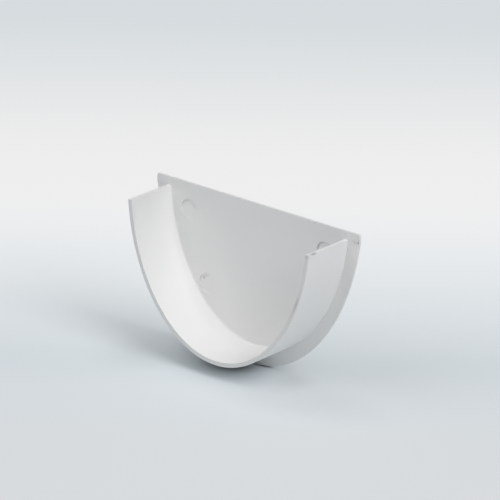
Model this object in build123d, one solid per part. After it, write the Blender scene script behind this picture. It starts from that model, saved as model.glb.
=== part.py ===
"""Stop end for a deep flow gutter: a flanged end plate with a trough-shaped spigot, moulded in one piece.

X runs across the gutter, Y along it and out through the closed end, Z up.
The origin is the middle of the stop face, where a fitting's end butts against the flange,
at the height of the spigot's two top edges.
"""

from build123d import *
import os
from math import sqrt

# Driving dimensions, in millimetres

# Spigot: a trough with an elliptical section, open at the top and at the mouth
SPIGOT_WIDTH = 115.0  # outside, across the two top edges
SPIGOT_DEPTH = 72.0  # outside, from the top edges to the lowest line
SPIGOT_LENGTH = 30.0  # from the stop face to the rim of the mouth
SPIGOT_WALL = 2.1
SPIGOT_CENTRE_HEIGHT = 10.0  # its ellipse is centred this far above the top edges

# End plate: a web that closes the spigot, a lip above it and a flange round it
FLANGE_SIDE = 7.1  # beyond the spigot's top edges, at each side
FLANGE_DROP = 8.0  # below the spigot's lowest line
FLANGE_CENTRE_HEIGHT = 18.0  # its ellipse is centred this far above the top edges
FLANGE_THICKNESS = 1.4
LIP_HEIGHT = 4.3  # above the spigot's top edges
WEB_STEP = 0.2  # web and lip stand this far in front of the flange
CORNER_RADIUS = 0.6  # the lip's two top corners

# Root fillet, inside the spigot where its wall meets the web
ROOT_RADIUS = 0.6

# Ejector pin marks: shallow round dimples in the web's inner face, in mirrored pairs
PIN_DIAMETER = 10.0
PIN_DEPTH = 0.6
UPPER_PIN_INSET = 10.6  # centre to the spigot's inner wall, across
UPPER_PIN_DROP = 9.5  # centre below the top edges
LOWER_PIN_INSET = 8.8
LOWER_PIN_RISE = 24.0  # centre above the spigot's inner lowest line

# Derived sizes
PLATE_WIDTH = SPIGOT_WIDTH + 2 * FLANGE_SIDE
PLATE_DEPTH = SPIGOT_DEPTH + FLANGE_DROP

# The sections are drawn on this plane: sketch x is X, sketch y is Z, and its normal points to the mouth
SECTION = Plane.XZ


def ellipse_radii(top_width, depth, centre_height):
    """Radii across and down of an ellipse that is top_width across at y = 0 and reaches depth below it."""
    tall = depth + centre_height
    return top_width / 2 / sqrt(1 - (centre_height / tall) ** 2), tall


def trough_section(top_width, depth, centre_height, inset=0.0):
    """The part of that ellipse below y = 0, with both radii drawn in by inset."""
    wide, tall = ellipse_radii(top_width, depth, centre_height)
    whole = Pos(0, centre_height) * Ellipse(wide - inset, tall - inset)
    return whole & Pos(0, -depth) * Rectangle(3 * wide, 2 * depth)


def inner_half_width(height):
    """Half of the spigot's inside width at a height, which is negative below the top edges."""
    wide, tall = ellipse_radii(SPIGOT_WIDTH, SPIGOT_DEPTH, SPIGOT_CENTRE_HEIGHT)
    down = (SPIGOT_CENTRE_HEIGHT - height) / (tall - SPIGOT_WALL)
    return (wide - SPIGOT_WALL) * sqrt(1 - down**2)


def end_plate():
    """The flange's ellipse and the lip on top of it, with the lip standing in front of the flange."""
    flange = trough_section(PLATE_WIDTH, PLATE_DEPTH, FLANGE_CENTRE_HEIGHT)
    lip = Pos(0, LIP_HEIGHT / 2) * Rectangle(PLATE_WIDTH, LIP_HEIGHT)
    lip = fillet(lip.vertices().group_by(Axis.Y)[-1], CORNER_RADIUS)
    plate = extrude(SECTION * (flange + lip), -FLANGE_THICKNESS)
    return plate + extrude(SECTION * lip, WEB_STEP)


def hollow():
    """The spigot's inside, from the web's inner face to the rim."""
    inside = trough_section(SPIGOT_WIDTH, SPIGOT_DEPTH, SPIGOT_CENTRE_HEIGHT, inset=SPIGOT_WALL)
    return extrude(SECTION.offset(WEB_STEP) * inside, SPIGOT_LENGTH - WEB_STEP)


def pin_marks():
    """The ejector pins, as cutters set PIN_DEPTH into the web."""
    upper = -UPPER_PIN_DROP
    lower = SPIGOT_WALL - SPIGOT_DEPTH + LOWER_PIN_RISE
    floor = SECTION.offset(WEB_STEP - PIN_DEPTH)
    pins = []
    for height, inset in ((upper, UPPER_PIN_INSET), (lower, LOWER_PIN_INSET)):
        for side in (-1, 1):
            across = side * (inner_half_width(height) - inset)
            pins.append(floor * Pos(across, height) * extrude(Circle(PIN_DIAMETER / 2), 2 * PIN_DEPTH))
    return pins


def stop_end():
    """The whole moulding."""
    outside = trough_section(SPIGOT_WIDTH, SPIGOT_DEPTH, SPIGOT_CENTRE_HEIGHT)
    body = end_plate() + extrude(SECTION * outside, SPIGOT_LENGTH) - hollow()
    web_edges = body.edges().filter_by_position(Axis.Y, -1.01 * WEB_STEP, -0.99 * WEB_STEP)
    root = web_edges.sort_by(SortBy.LENGTH)[-1]
    body = fillet(root, ROOT_RADIUS)
    for pin in pin_marks():
        body -= pin
    return body


os.makedirs("parts", exist_ok=True)
whole = stop_end()
whole.label = "stop_end"
export_step(whole, "parts/stop_end.step")
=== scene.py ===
"""Looks of the gutter stop end: a finer mesh of the moulding, its finish, the floor, lamps and camera.

Sizes are in millimetres and angles in degrees, unless a comment says otherwise.
"""

import logging
import math
from dataclasses import dataclass
from enum import Enum, IntEnum
from typing import Any

import bmesh
import bpy
from bmesh.types import BMEdge, BMesh, BMFace, BMLayerItem, BMVert
from mathutils import Matrix, Vector


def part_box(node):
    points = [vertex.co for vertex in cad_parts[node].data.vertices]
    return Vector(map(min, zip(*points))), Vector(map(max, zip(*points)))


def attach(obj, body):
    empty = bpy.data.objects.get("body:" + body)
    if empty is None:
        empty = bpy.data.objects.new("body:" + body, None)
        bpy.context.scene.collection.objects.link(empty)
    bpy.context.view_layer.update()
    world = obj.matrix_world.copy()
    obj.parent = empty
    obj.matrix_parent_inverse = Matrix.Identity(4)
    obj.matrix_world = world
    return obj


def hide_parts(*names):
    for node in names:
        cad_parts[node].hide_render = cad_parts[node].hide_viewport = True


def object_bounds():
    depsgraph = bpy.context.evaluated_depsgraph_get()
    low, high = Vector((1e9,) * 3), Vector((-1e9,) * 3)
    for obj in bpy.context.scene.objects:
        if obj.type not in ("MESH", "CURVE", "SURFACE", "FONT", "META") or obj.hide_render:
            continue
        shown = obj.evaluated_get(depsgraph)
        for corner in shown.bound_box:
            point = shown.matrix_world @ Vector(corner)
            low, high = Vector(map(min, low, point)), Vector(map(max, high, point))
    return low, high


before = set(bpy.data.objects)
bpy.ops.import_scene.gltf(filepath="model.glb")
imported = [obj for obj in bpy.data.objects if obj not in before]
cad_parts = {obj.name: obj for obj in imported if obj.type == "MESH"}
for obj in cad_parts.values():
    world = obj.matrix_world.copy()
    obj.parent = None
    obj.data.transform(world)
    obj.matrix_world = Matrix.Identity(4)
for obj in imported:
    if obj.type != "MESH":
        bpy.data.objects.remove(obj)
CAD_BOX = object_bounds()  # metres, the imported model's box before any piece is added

LOG = logging.getLogger("stop_end")

MM = 0.001  # metres in a millimetre
IMAGE_SIDE = 500  # pixels
SENSOR = 36.0

# Ejector pin marks in the web, across and up from the origin, on the right half
UPPER_PIN = (43.54, -9.5)
LOWER_PIN = (31.09, -45.9)
PIN_RADIUS = 5.0

# How the mesh's own points, faces and edges are told apart
ON_LINE = 1e-4  # how near a point on the line Z = 0 is to it
IN_PLANE = 1e-3  # how near a point in a plane is to it
FACING_Y = 0.5  # a face looks along Y where its normal's part along Y is larger than this
INNER_CORNER = -0.5  # radians; two faces make an inner corner where they fold further than this


class Side(Enum):
    """The two halves of the moulding, which mirror each other."""

    LEFT = -1
    RIGHT = 1


class Region(IntEnum):
    """The parts of the moulding's front that stand at different depths."""

    FLANGE = 0
    WEB = 1
    WALL = 2
    PIN = 3


def srgb(code: str) -> tuple[float, float, float, float]:
    """Turns an sRGB hex colour into linear values.

    Args:
        code: six hex digits after a hash sign.

    Returns:
        Linear red, green and blue, with an alpha of 1.
    """
    parts = [int(code[i : i + 2], 16) / 255 for i in (1, 3, 5)]
    linear = [p / 12.92 if p <= 0.04045 else ((p + 0.055) / 1.055) ** 2.4 for p in parts]
    return (*linear, 1.0)


def add_node(
    tree: bpy.types.NodeTree, kind: str, inputs: dict[str | int, Any] | None = None, **settings: Any
) -> bpy.types.Node:
    """Adds a node with its settings and links.

    Args:
        tree: the node tree to add to.
        kind: the node's type name.
        inputs: input name or number to a value, or to the socket that feeds it.
        settings: the node's own properties.

    Returns:
        The new node.
    """
    node = tree.nodes.new(kind)
    for name, value in settings.items():
        setattr(node, name, value)
    for key, value in (inputs or {}).items():
        if isinstance(value, bpy.types.NodeSocket):
            tree.links.new(value, node.inputs[key])
        else:
            node.inputs[key].default_value = value
    return node


def new_material(name: str) -> tuple[bpy.types.Material, bpy.types.NodeTree]:
    """Makes an empty node-based material.

    Args:
        name: what the material is.

    Returns:
        The material and its node tree.
    """
    material = bpy.data.materials.new(name)
    material.use_nodes = True
    material.node_tree.nodes.clear()
    return material, material.node_tree


@dataclass(frozen=True)
class SoftMark:
    """A soft-edged grey mark on a surface."""

    middle: tuple[float, float, float]
    radii: tuple[float, float, float]
    depth: float  # share of the colour that it takes away where it is strongest
    turn: tuple[float, float, float] = (0.0, 0.0, 0.0)
    ring: float = 0.0  # half the width of a ring at the radii, as a share of them; 0 fills the mark

    def shade(
        self, tree: bpy.types.NodeTree, place: bpy.types.NodeSocket, colour: bpy.types.NodeSocket
    ) -> bpy.types.NodeSocket:
        """Darkens a colour inside the mark.

        Args:
            tree: the material's node tree.
            place: where on the surface.
            colour: the colour without the mark.

        Returns:
            The colour with the mark.
        """
        local = add_node(
            tree,
            "ShaderNodeMapping",
            {
                "Vector": place,
                "Location": tuple(v * MM for v in self.middle),
                "Rotation": tuple(math.radians(v) for v in self.turn),
                "Scale": tuple(v * MM for v in self.radii),
            },
            vector_type="TEXTURE",
        )
        reach = add_node(tree, "ShaderNodeVectorMath", {0: local.outputs["Vector"]}, operation="LENGTH")
        away = reach.outputs["Value"]
        if self.ring:
            beyond = add_node(tree, "ShaderNodeMath", {0: away, 1: 1.0}, operation="SUBTRACT")
            off_ring = add_node(tree, "ShaderNodeMath", {0: beyond.outputs["Value"]}, operation="ABSOLUTE")
            away = off_ring.outputs["Value"]
        left = add_node(
            tree,
            "ShaderNodeMapRange",
            {"Value": away, "From Max": self.ring or 1.0, "To Min": 1 - self.depth},
            interpolation_type="SMOOTHSTEP",
        )
        marked = add_node(
            tree, "ShaderNodeVectorMath", {0: colour, "Scale": left.outputs["Result"]}, operation="SCALE"
        )
        return marked.outputs["Vector"]


# PVC-U out of a polished mould gives the eye an opaque neutral white with broad, soft highlights.
# The melt leaves it very slightly cloudy and unevenly glossy; it has grey specks and darker patches, and
# painted shade on its rim, in its pin marks and by its lip.
@dataclass(frozen=True)
class WhitePvc:
    """Injection-moulded white PVC-U with a soft satin gloss, grey specks and darker patches, and painted
    shade.
    """

    light: str = "#f0f0ef"
    shade: str = "#ebebeb"
    ior: float = 1.53
    roughness_low: float = 0.36
    roughness_high: float = 0.48
    cloud_size: float = 18.0  # the faint cloudiness that the flow of the melt leaves
    cloud_detail: float = 3.0
    cloud_breakup: float = 0.55
    cloud_range: tuple[float, float] = (0.3, 0.7)  # the noise levels between which the gloss changes
    ripple_size: float = 1.4  # the mould's polish leaves finer ripples, drawn this coarse so that they show
    ripple_detail: float = 2.0
    ripple_depth: float = 0.006
    rim_painted_shade: tuple[SoftMark, ...] = (
        # Painted shade over the whole rim
        SoftMark(middle=(0, -30.1, -36), radii=(900, 0.5, 900), depth=0.09),
        # Darker painted shade on the rim's right side
        SoftMark(middle=(50.6, -30, -26.8), radii=(0.9, 0.7, 6.5), depth=0.22, turn=(0, 20.6, 0)),
        SoftMark(middle=(49.8, -30, -28), radii=(1.4, 0.7, 16), depth=0.09, turn=(0, 21, 0)),
    )
    top_edge_dark_patch: tuple[SoftMark, ...] = (
        # Darker patches on the spigot's right top edge, near the rim
        SoftMark(middle=(56.9, -25.8, -0.1), radii=(1.3, 3.8, 1.0), depth=0.60),
        SoftMark(middle=(56.2, -29.8, -0.6), radii=(2.2, 2.0, 2.4), depth=0.18),
    )
    pin_shade_and_spots: tuple[SoftMark, ...] = (
        # Darker spots at the upper left and top of the lower left pin mark
        SoftMark(middle=(-33.3, 0.1, -43.4), radii=(1.0, 1.5, 1.0), depth=0.50),
        SoftMark(middle=(-31.4, 0.1, -42.0), radii=(2.0, 1.5, 0.7), depth=0.14, turn=(0, -15, 0)),
        # Painted shade in the upper right pin mark, along its left and top
        SoftMark(middle=(39.0, 0.1, -8.0), radii=(0.8, 1.5, 2.6), depth=0.17, turn=(0, 18, 0)),
        SoftMark(middle=(41.0, 0.1, -5.4), radii=(0.8, 1.5, 2.4), depth=0.14, turn=(0, 50, 0)),
        SoftMark(middle=(45.2, 0.1, -5.1), radii=(0.7, 1.5, 2.0), depth=0.11, turn=(0, 112, 0)),
        SoftMark(middle=(42.0, 0.1, -8.0), radii=(1.8, 1.5, 0.9), depth=0.10),
        # Painted shadow in the upper left pin mark
        SoftMark(middle=(-40.5, 0.1, -7.4), radii=(1.6, 1.5, 3.6), depth=0.11, turn=(0, 125, 0)),
        # Painted shade in a ring round the upper right pin mark
        SoftMark(
            middle=(UPPER_PIN[0], 0.1, UPPER_PIN[1]),
            radii=(PIN_RADIUS, 0.8, PIN_RADIUS),
            depth=0.09,
            ring=0.12,
        ),
    )
    pin_wall_painted_shade: tuple[SoftMark, ...] = (
        # Painted shade on the lower left walls of the two left pin marks, where they catch the light
        SoftMark(middle=(-46.1, 0.1, -13.8), radii=(1.8, 0.3, 5.8), depth=0.42, turn=(0, 120, 0)),
        SoftMark(middle=(-34.6, 0.1, -49.4), radii=(1.8, 0.3, 4.6), depth=0.32, turn=(0, 135, 0)),
    )
    lip_specks: tuple[SoftMark, ...] = (
        SoftMark(middle=(55.9, -0.2, 3.0), radii=(0.8, 0.8, 0.8), depth=0.16),
        SoftMark(middle=(55.9, -0.2, 1.5), radii=(1.6, 0.8, 0.7), depth=0.09),
        SoftMark(middle=(36.9, -0.2, 3.3), radii=(0.8, 0.8, 0.8), depth=0.13),
        SoftMark(middle=(33.2, -0.2, 3.1), radii=(0.9, 0.8, 0.9), depth=0.07),
        SoftMark(middle=(42.5, -0.2, 3.8), radii=(0.7, 0.8, 0.7), depth=0.08),
    )
    lip_end_dot_and_shade: tuple[SoftMark, ...] = (
        # A dark dot under the lip's right end, with painted shade beside it and along the line under the
        # lip
        SoftMark(middle=(63.9, -0.1, 0.1), radii=(0.8, 0.8, 0.9), depth=0.42),
        SoftMark(middle=(64.2, -0.2, 1.2), radii=(0.6, 0.6, 2.6), depth=0.20),
        SoftMark(middle=(62.2, -0.1, 0.0), radii=(3.4, 0.8, 0.7), depth=0.14),
    )

    def marks(self) -> tuple[SoftMark, ...]:
        """Lists all the marks: painted shade, darker patches and specks."""
        rim_and_top_edge = self.rim_painted_shade + self.top_edge_dark_patch
        return rim_and_top_edge + self.pin_shade_and_spots + self.pin_wall_painted_shade + self.lip_specks + self.lip_end_dot_and_shade

    def material(self) -> bpy.types.Material:
        """Makes the finish: cloudy white, specks and painted shade, uneven gloss and a very slight ripple.

        Returns:
            The material.
        """
        material, tree = new_material("white_pvc_u_moulded")
        place = add_node(tree, "ShaderNodeTexCoord").outputs["Object"]
        cloud = add_node(
            tree,
            "ShaderNodeTexNoise",
            {
                "Vector": place,
                "Scale": 1 / (self.cloud_size * MM),
                "Detail": self.cloud_detail,
                "Roughness": self.cloud_breakup,
            },
        )
        colour = add_node(
            tree,
            "ShaderNodeMix",
            {"Factor": cloud.outputs["Fac"], "A": srgb(self.light), "B": srgb(self.shade)},
            data_type="RGBA",
        )
        tint = colour.outputs["Result"]
        for mark in self.marks():
            tint = mark.shade(tree, place, tint)
        gloss = add_node(
            tree,
            "ShaderNodeMapRange",
            {
                "Value": cloud.outputs["Fac"],
                "From Min": self.cloud_range[0],
                "From Max": self.cloud_range[1],
                "To Min": self.roughness_low,
                "To Max": self.roughness_high,
            },
        )
        polish = add_node(
            tree,
            "ShaderNodeTexNoise",
            {"Vector": place, "Scale": 1 / (self.ripple_size * MM), "Detail": self.ripple_detail},
        )
        ripple = add_node(
            tree,
            "ShaderNodeBump",
            {"Height": polish.outputs["Fac"], "Strength": 1.0, "Distance": self.ripple_depth * MM},
        )
        shader = add_node(
            tree,
            "ShaderNodeBsdfPrincipled",
            {
                "Base Color": tint,
                "Roughness": gloss.outputs["Result"],
                "Normal": ripple.outputs["Normal"],
                "IOR": self.ior,
            },
        )
        add_node(tree, "ShaderNodeOutputMaterial", {"Surface": shader.outputs["BSDF"]})
        return material


@dataclass(frozen=True)
class StopEnd:
    """The moulding: end plate with flange, lip and web, and the trough-shaped spigot."""

    plate_half: float
    plate_depth: float
    plate_thickness: float
    lip_height: float
    spigot_length: float
    spigot_width: float = 115.0
    spigot_depth: float = 72.0
    spigot_centre: float = 10.0  # height of its ellipse's centre
    flange_centre: float = 18.0  # height of its ellipse's centre
    wall: float = 2.1
    web_step: float = 0.2
    corner_radius: float = 0.6
    root_radius: float = 0.6
    back_radius: float = 0.5  # the plate's outer edge at the back
    edge_radius: float = 0.15  # all other edges
    edge_angle: float = 40.0  # an edge is softened where its faces turn by more than this
    web_border: float = 1.6  # a band of even faces round the web, which the root fillet takes up
    pin_radius: float = PIN_RADIUS
    pin_depth: float = 0.6
    pins: tuple[tuple[float, float], ...] = (UPPER_PIN, LOWER_PIN)
    arc_steps: int = 180
    pin_steps: int = 64
    corner_steps: int = 8
    root_steps: int = 6
    back_steps: int = 4
    edge_steps: int = 2

    @classmethod
    def from_frame(cls, node: str) -> "StopEnd":
        """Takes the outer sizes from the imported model.

        Args:
            node: the model's node that this piece stands for.

        Returns:
            The moulding, with its other sizes as designed.
        """
        low, high = (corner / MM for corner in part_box(node))
        return cls(
            plate_half=high.x,
            plate_depth=-low.z,
            plate_thickness=high.y,
            lip_height=high.z,
            spigot_length=-low.y,
        )

    def trough_arc(
        self, bm: BMesh, top_width: float, depth: float, centre: float, inset: float = 0.0
    ) -> list[BMEdge]:
        """Draws the part of an ellipse that lies below Z = 0, in the plane Y = 0.

        Args:
            bm: the mesh to draw in.
            top_width: the ellipse's width at Z = 0 when inset is 0.
            depth: how far it reaches below Z = 0 when inset is 0.
            centre: height of its centre above Z = 0.
            inset: how far both radii are drawn in.

        Returns:
            The arc's edges.
        """
        tall = depth + centre
        wide = top_width / 2 / math.sqrt(1 - (centre / tall) ** 2)
        start = math.asin(centre / (tall - inset))
        old_verts = set(bm.verts)
        old_edges = set(bm.edges)
        first = bmesh.ops.create_vert(bm, co=(math.cos(start), 0, -math.sin(start)))["vert"][0]
        bmesh.ops.spin(
            bm,
            geom=[first],
            cent=(0, 0, 0),
            axis=(0, 1, 0),
            angle=math.pi - 2 * start,
            steps=self.arc_steps,
        )
        verts = [v for v in bm.verts if v not in old_verts]
        bmesh.ops.scale(bm, vec=(wide - inset, 1, tall - inset), verts=verts)
        bmesh.ops.translate(bm, vec=(0, 0, centre), verts=verts)
        return [e for e in bm.edges if e not in old_edges]

    def bridge(self, bm: BMesh, one: list[BMEdge], other: list[BMEdge]) -> list[BMFace]:
        """Fills the band between two arcs with even faces."""
        return bmesh.ops.bridge_loops(bm, edges=one + other)["faces"]

    def ends(self, arc: list[BMEdge]) -> dict[Side, BMVert]:
        """Finds an arc's two end points on the line Z = 0.

        Args:
            arc: the arc's edges.

        Returns:
            The end point on each side.
        """
        tops = [v for e in arc for v in e.verts if abs(v.co.z) < ON_LINE]
        return {
            Side.LEFT: min(tops, key=lambda v: v.co.x),
            Side.RIGHT: max(tops, key=lambda v: v.co.x),
        }

    def pin_circles(self, bm: BMesh) -> list[list[BMEdge]]:
        """Draws the outlines of the ejector pin marks in the plane Y = 0.

        Args:
            bm: the mesh to draw in.

        Returns:
            The edges of each circle.
        """
        upright = Matrix.Rotation(math.pi / 2, 4, "X")
        circles = []
        for across, height in self.pins:
            for side in Side:
                place = Matrix.Translation((side.value * across, 0, height)) @ upright
                made = bmesh.ops.create_circle(
                    bm, segments=self.pin_steps, radius=self.pin_radius, matrix=place
                )
                circles.append(list(dict.fromkeys(e for v in made["verts"] for e in v.link_edges)))
        return circles

    def lip_outline(self, bm: BMesh, flange: dict[Side, BMVert]) -> list[BMEdge]:
        """Draws the lip's ends and top from one end of the flange's arc to the other, with rounded corners.

        Args:
            bm: the mesh to draw in.
            flange: the end points of the flange's arc.

        Returns:
            The outline's edges.
        """
        old_edges = set(bm.edges)
        corners = {}
        for side in Side:
            corner = (side.value * self.plate_half, 0, self.lip_height)
            corners[side] = bmesh.ops.create_vert(bm, co=corner)["vert"][0]
        for side in Side:
            bm.edges.new((flange[side], corners[side]))
        bm.edges.new((corners[Side.LEFT], corners[Side.RIGHT]))
        bmesh.ops.bevel(
            bm,
            geom=list(corners.values()),
            offset=self.corner_radius,
            affect="VERTICES",
            segments=self.corner_steps,
            profile=0.5,
            material=-1,
        )
        return [e for e in bm.edges if e not in old_edges]

    def draw_front(self, bm: BMesh, regions: BMLayerItem) -> None:
        """Draws the whole front as a flat map of faces in the plane Y = 0, and notes each face's region.

        Args:
            bm: the empty mesh.
            regions: the face layer that takes the regions.
        """
        flange = self.trough_arc(bm, 2 * self.plate_half, self.plate_depth, self.flange_centre)
        spigot = (self.spigot_width, self.spigot_depth, self.spigot_centre)
        outer = self.trough_arc(bm, *spigot)
        inner = self.trough_arc(bm, *spigot, inset=self.wall)
        border = self.trough_arc(bm, *spigot, inset=self.wall + self.web_border)
        border_ends = self.ends(border)
        flange_ends = self.ends(flange)
        self.bridge(bm, flange, outer)
        wall = self.bridge(bm, outer, inner)
        band = self.bridge(bm, inner, border)
        chord = bm.edges.new((border_ends[Side.LEFT], border_ends[Side.RIGHT]))
        top = self.lip_outline(bm, flange_ends)
        base = [e for e in bm.edges if e not in top and all(abs(v.co.z) < ON_LINE for v in e.verts)]
        lip = bmesh.ops.contextual_create(bm, geom=top + base)["faces"]
        circles = self.pin_circles(bm)
        web_edges = border + [chord] + [e for circle in circles for e in circle]
        filled = bmesh.ops.triangle_fill(bm, use_beauty=True, edges=web_edges)["geom"]
        web = [g for g in filled if isinstance(g, BMFace)]
        pins = [bmesh.ops.contextual_create(bm, geom=circle)["faces"][0] for circle in circles]
        for region, faces in (
            (Region.WEB, web + band + lip),
            (Region.WALL, wall),
            (Region.PIN, pins),
        ):
            for face in faces:
                face[regions] = region.value

    def lift(self, bm: BMesh, faces: list[BMFace], along_y: float) -> None:
        """Extrudes faces along Y.

        Args:
            bm: the mesh.
            faces: the faces to move.
            along_y: how far they move.
        """
        edges = list(dict.fromkeys(e for f in faces for e in f.edges))
        made = bmesh.ops.extrude_face_region(bm, geom=faces + edges)["geom"]
        verts = [g for g in made if isinstance(g, BMVert)]
        bmesh.ops.translate(bm, vec=(0, along_y, 0), verts=verts)
        bm.normal_update()

    def close_back(self, bm: BMesh) -> None:
        """Gives the open outline its thickness, closes the plate's back and rounds its outer edge.

        Args:
            bm: the mesh, open along the plate's outline.
        """
        outline = [e for e in bm.edges if e.is_boundary]
        made = bmesh.ops.extrude_edge_only(bm, edges=outline)["geom"]
        verts = [g for g in made if isinstance(g, BMVert)]
        bmesh.ops.translate(bm, vec=(0, self.plate_thickness, 0), verts=verts)
        rear = [g for g in made if isinstance(g, BMEdge)]
        back = bmesh.ops.contextual_create(bm, geom=rear)["faces"][0]
        bmesh.ops.bevel(
            bm,
            geom=list(back.edges),
            offset=self.back_radius,
            affect="EDGES",
            segments=self.back_steps,
            profile=0.5,
            material=-1,
        )

    def fillet_root(self, bm: BMesh) -> None:
        """Rounds the inner corner where the spigot's wall meets the web.

        Args:
            bm: the closed mesh, with its faces outwards.
        """
        bm.normal_update()
        root = [
            e
            for e in bm.edges
            if all(abs(v.co.y + self.web_step) < IN_PLANE for v in e.verts)
            and min(v.co.z for v in e.verts) < -IN_PLANE
            and e.calc_face_angle_signed(0) < INNER_CORNER
        ]
        bmesh.ops.bevel(
            bm,
            geom=root,
            offset=self.root_radius,
            affect="EDGES",
            segments=self.root_steps,
            profile=0.5,
            material=-1,
        )

    def mesh(self) -> BMesh:
        """Models the moulding as one closed mesh, from a flat map of its front that is extruded in steps.

        Returns:
            The mesh, in metres.
        """
        bm = bmesh.new()
        regions = bm.faces.layers.int.new("region")
        self.draw_front(bm, regions)
        self.lift(bm, [f for f in bm.faces if f[regions] != Region.FLANGE], -self.web_step)
        for region, along_y in (
            (Region.WALL, self.web_step - self.spigot_length),
            (Region.PIN, self.pin_depth),
        ):
            level = [f for f in bm.faces if f[regions] == region and abs(f.normal.y) > FACING_Y]
            self.lift(bm, level, along_y)
        self.close_back(bm)
        bmesh.ops.recalc_face_normals(bm, faces=bm.faces)
        self.fillet_root(bm)
        bmesh.ops.scale(bm, vec=(MM, MM, MM), verts=bm.verts)
        return bm

    def build(self, name: str) -> bpy.types.Object:
        """Makes the piece and softens its edges.

        Args:
            name: the piece's name.

        Returns:
            The object, without a finish.
        """
        bm = self.mesh()
        for face in bm.faces:
            face.smooth = True
        data = bpy.data.meshes.new(name)
        bm.to_mesh(data)
        bm.free()
        piece = bpy.data.objects.new(name, data)
        bpy.context.scene.collection.objects.link(piece)
        edges = piece.modifiers.new("moulded_edges", "BEVEL")
        edges.width = self.edge_radius * MM
        edges.segments = self.edge_steps
        edges.limit_method = "ANGLE"
        edges.angle_limit = math.radians(self.edge_angle)
        edges.harden_normals = True
        return piece

    def dress(self, piece: bpy.types.Object, finish: WhitePvc) -> None:
        """Gives the piece its finish."""
        piece.data.materials.append(finish.material())


@dataclass(frozen=True)
class PhotoCamera:
    """The camera at the photograph's angle."""

    azimuth: float = 39.734
    elevation: float = 20.790
    roll: float = 1.264
    distance: float = 1998.0
    pixels_per_mm: float = 2.0340  # at the aim point
    aim: tuple[float, float, float] = (-3.561, -0.2, -20.972)
    reach: float = 100.0  # metres, how far it sees

    def place(self) -> bpy.types.Object:
        """Makes the camera and gives it to the scene.

        Returns:
            The camera's object.
        """
        round_by, up_by, roll = (math.radians(v) for v in (self.azimuth, self.elevation, self.roll))
        level = Vector((math.cos(round_by), math.sin(round_by), 0))
        rise = Vector(
            (-math.sin(round_by) * math.sin(up_by), math.cos(round_by) * math.sin(up_by), math.cos(up_by))
        )
        back = level.cross(rise)
        right = level * math.cos(roll) + rise * math.sin(roll)
        up = rise * math.cos(roll) - level * math.sin(roll)
        data = bpy.data.cameras.new("photo_camera")
        data.sensor_width = SENSOR
        data.lens = self.pixels_per_mm * self.distance / IMAGE_SIDE * SENSOR
        data.clip_end = self.reach
        camera = bpy.data.objects.new("photo_camera", data)
        turn = Matrix((right, up, back)).transposed().to_4x4()
        camera.matrix_world = Matrix.Translation((Vector(self.aim) + back * self.distance) * MM) @ turn
        bpy.context.scene.collection.objects.link(camera)
        bpy.context.scene.camera = camera
        return camera
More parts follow.
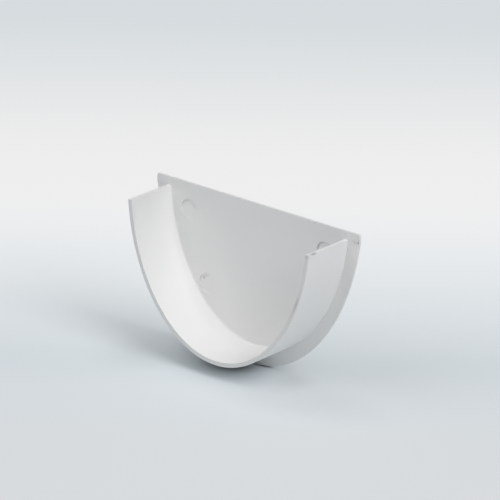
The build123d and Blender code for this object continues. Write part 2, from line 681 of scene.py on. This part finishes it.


# Matt paper gives the eye an even pale ground with no texture, here toned in soft bands of painted light
# and shade across the view.
@dataclass(frozen=True)
class Floor:
    """A large sheet of pale paper under the piece, with soft bands of painted light and shade, painted
    shadow near the piece and a painted glow.
    """

    height: float  # metres
    azimuth: float  # the side that the bands face
    side: float = 16.0  # metres
    bands: tuple[tuple[float, str], ...] = (
        # How far behind the origin, and the sheet's colour there, with painted light and shade
        (-150.0, "#e2e5e7"),
        (-40.0, "#dfe5e9"),
        (20.0, "#e0e7eb"),
        (160.0, "#f7fafc"),
        (300.0, "#ffffff"),
        (560.0, "#eaf0f3"),
    )
    glow_share: float = 0.45  # how much of its light is a painted glow, which takes no shadow
    glow_level: float = 1.07  # the strength of that glow
    core_middle: tuple[float, float] = (-10.0, -8.0)  # where the deep shadow under the spigot lies
    core_radii: tuple[float, float] = (28.0, 28.0)
    core_fade: tuple[float, float] = (0.4, 1.4)  # shares of the radii between which the glow comes in
    painted_shadows: tuple[SoftMark, ...] = (
        # Painted shadow where the flange stands
        SoftMark(middle=(5, 0.6, -80), radii=(9, 2.6, 9), depth=0.92, turn=(0, 0, 10)),
        # Painted shadow under the spigot
        SoftMark(middle=(-7.5, -9, -80), radii=(18.5, 14.5, 9), depth=0.9, turn=(0, 0, 17)),
        # Wide shade to the left
        SoftMark(middle=(-39, -6, -80), radii=(34, 60, 9), depth=0.21, turn=(0, 0, -25)),
        # Wide shade to the right
        SoftMark(middle=(44, -21, -80), radii=(66, 30, 9), depth=0.13, turn=(0, 0, 11)),
        SoftMark(middle=(28, -4, -80), radii=(16, 14, 9), depth=0.12, turn=(0, 0, 14)),
    )

    def toned(self, tree: bpy.types.NodeTree, place: bpy.types.NodeSocket) -> bpy.types.NodeSocket:
        """Draws the bands of painted light and shade, and the painted shadow near the piece.

        Args:
            tree: the material's node tree.
            place: where on the sheet.

        Returns:
            The sheet's colour.
        """
        turn = math.radians(self.azimuth)
        behind = add_node(
            tree,
            "ShaderNodeVectorMath",
            {0: place, 1: (-math.sin(turn), math.cos(turn), 0)},
            operation="DOT_PRODUCT",
        )
        first, last = self.bands[0][0], self.bands[-1][0]
        share = add_node(
            tree,
            "ShaderNodeMapRange",
            {"Value": behind.outputs["Value"], "From Min": first * MM, "From Max": last * MM},
        )
        ramp = add_node(tree, "ShaderNodeValToRGB", {"Fac": share.outputs["Result"]})
        ramp.color_ramp.interpolation = "CARDINAL"
        stops = ramp.color_ramp.elements
        for distance, code in self.bands[1:-1]:
            stops.new((distance - first) / (last - first)).color = srgb(code)
        stops[0].color = srgb(self.bands[0][1])
        stops[-1].color = srgb(self.bands[-1][1])
        colour = ramp.outputs["Color"]
        for painted_shadow in self.painted_shadows:
            colour = painted_shadow.shade(tree, place, colour)
        return colour

    def material(self) -> bpy.types.Material:
        """Makes the sheet: matt paper that takes the lamps' shadow, mixed with a painted glow that takes
        none and fades out under the spigot.

        Returns:
            The material.
        """
        material, tree = new_material("pale_paper")
        place = add_node(tree, "ShaderNodeTexCoord").outputs["Object"]
        colour = self.toned(tree, place)
        lit = add_node(tree, "ShaderNodeBsdfDiffuse", {"Color": colour})
        glow = add_node(tree, "ShaderNodeEmission", {"Color": colour, "Strength": self.glow_level})
        core = add_node(
            tree,
            "ShaderNodeMapping",
            {
                "Vector": place,
                "Location": (self.core_middle[0] * MM, self.core_middle[1] * MM, self.height),
                "Scale": (self.core_radii[0] * MM, self.core_radii[1] * MM, 1),
            },
            vector_type="TEXTURE",
        )
        reach = add_node(tree, "ShaderNodeVectorMath", {0: core.outputs["Vector"]}, operation="LENGTH")
        clear = add_node(
            tree,
            "ShaderNodeMapRange",
            {
                "Value": reach.outputs["Value"],
                "From Min": self.core_fade[0],
                "From Max": self.core_fade[1],
                "To Max": self.glow_share,
            },
            interpolation_type="SMOOTHSTEP",
        )
        shader = add_node(
            tree,
            "ShaderNodeMixShader",
            {0: clear.outputs["Result"], 1: lit.outputs["BSDF"], 2: glow.outputs["Emission"]},
        )
        add_node(tree, "ShaderNodeOutputMaterial", {"Surface": shader.outputs["Shader"]})
        return material

    def build(self) -> bpy.types.Object:
        """Makes the sheet.

        Returns:
            The sheet's object.
        """
        bm = bmesh.new()
        bmesh.ops.create_grid(bm, x_segments=1, y_segments=1, size=self.side / 2)
        bmesh.ops.translate(bm, vec=(0, 0, self.height), verts=bm.verts)
        data = bpy.data.meshes.new("floor")
        bm.to_mesh(data)
        bm.free()
        floor = bpy.data.objects.new("floor", data)
        bpy.context.scene.collection.objects.link(floor)
        data.materials.append(self.material())
        return floor


@dataclass(frozen=True)
class Softbox:
    """One square area lamp that points at the piece."""

    name: str
    azimuth: float
    elevation: float
    size: float  # metres
    power: float  # watts
    distance: float = 4.0  # metres

    def build(self, target: Vector) -> bpy.types.Object:
        """Makes the lamp.

        Args:
            target: the point that it faces, in metres.

        Returns:
            The lamp's object.
        """
        round_by = math.radians(self.azimuth)
        up_by = math.radians(self.elevation)
        back = Vector(
            (math.sin(round_by) * math.cos(up_by), -math.cos(round_by) * math.cos(up_by), math.sin(up_by))
        )
        data = bpy.data.lights.new(self.name, "AREA")
        data.size = self.size
        data.energy = self.power
        lamp = bpy.data.objects.new(self.name, data)
        lamp.location = target + back * self.distance
        lamp.rotation_mode = "QUATERNION"
        lamp.rotation_quaternion = back.to_track_quat("Z", "Y")
        bpy.context.scene.collection.objects.link(lamp)
        return lamp


@dataclass(frozen=True)
class Room:
    """An even pale light from all sides, with walls that are pale where they are seen or mirrored."""

    colour: str = "#ffffff"
    shed: float = 0.02  # the strength of the light that it sheds
    seen: float = 0.95  # the strength of the walls

    def build(self) -> bpy.types.World:
        """Makes the world and gives it to the scene.

        Returns:
            The world.
        """
        world = bpy.data.worlds.new("room")
        world.use_nodes = True
        tree = world.node_tree
        tree.nodes.clear()
        path = add_node(tree, "ShaderNodeLightPath").outputs
        mirrored = add_node(
            tree,
            "ShaderNodeMath",
            {0: path["Is Glossy Ray"], 1: path["Is Transmission Ray"]},
            operation="MAXIMUM",
        )
        direct = add_node(
            tree,
            "ShaderNodeMath",
            {0: path["Is Camera Ray"], 1: mirrored.outputs["Value"]},
            operation="MAXIMUM",
        )
        level = add_node(
            tree,
            "ShaderNodeMapRange",
            {"Value": direct.outputs["Value"], "To Min": self.shed, "To Max": self.seen},
        )
        walls = add_node(
            tree,
            "ShaderNodeBackground",
            {"Color": srgb(self.colour), "Strength": level.outputs["Result"]},
        )
        add_node(tree, "ShaderNodeOutputWorld", {"Surface": walls.outputs["Background"]})
        bpy.context.scene.world = world
        return world


LAMPS = (
    Softbox("right", azimuth=80, elevation=38, size=2.0, power=60.0),
    Softbox("upper_right", azimuth=74, elevation=65, size=2.0, power=52.0),
    Softbox("left_front", azimuth=-29, elevation=48, size=3.0, power=58.0),
)


def main() -> None:
    """Builds the piece, the floor, the light and the camera."""
    logging.basicConfig(level=logging.INFO, format="%(name)s: %(message)s")
    bpy.context.scene.view_settings.view_transform = "Standard"
    moulding = StopEnd.from_frame("stop_end")
    piece = moulding.build("stop_end_moulding")
    moulding.dress(piece, WhitePvc())
    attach(piece, "root")
    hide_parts("stop_end")
    LOG.info("%s: %d faces before its edges are softened", piece.name, len(piece.data.polygons))
    camera = PhotoCamera()
    floor = Floor(height=CAD_BOX[0].z, azimuth=camera.azimuth).build()
    LOG.info("%s: at %.1f mm", floor.name, CAD_BOX[0].z / MM)
    target = (CAD_BOX[0] + CAD_BOX[1]) / 2
    for softbox in LAMPS:
        lamp = softbox.build(target)
        LOG.info("%s: lamp of %.0f W", lamp.name, softbox.power)
    world = Room().build()
    LOG.info("%s: light from all sides", world.name)
    eye = camera.place()
    LOG.info("%s: %.0f mm from its aim", eye.name, camera.distance)


if __name__ == "__main__":
    main()
